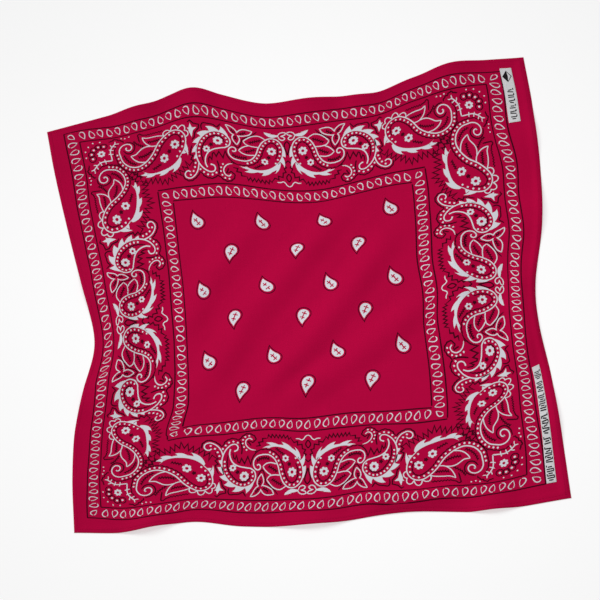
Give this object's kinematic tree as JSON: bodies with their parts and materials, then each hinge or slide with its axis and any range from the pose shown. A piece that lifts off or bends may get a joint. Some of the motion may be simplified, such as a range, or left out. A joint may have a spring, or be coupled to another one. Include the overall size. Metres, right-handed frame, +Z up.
{
  "type": "bandana",
  "caption": "Square printed cotton bandana lying open on a surface, with soft folds, narrow turned hems and two woven tapes.",
  "frame": {"origin": "centre of the bounding box, on the surface that the cloth lies on", "axes": "+Z up, square to the surface; +X along the weft towards the edge with the two tapes; +Y along the warp, away from the viewer"},
  "size_m": [0.5869, 0.6007, 0.0099],
  "materials": {
    "cotton": "plain woven cotton, crimson, matt, printed in white and dark maroon",
    "tape": "smooth white woven tape"
  },
  "bodies": {
    "root": {"cloth": "cotton", "hem_far": "cotton", "hem_near": "cotton", "hem_left": "cotton", "hem_right": "cotton", "label_upper": "tape", "label_lower": "tape"}
  },
  "joints": []
}
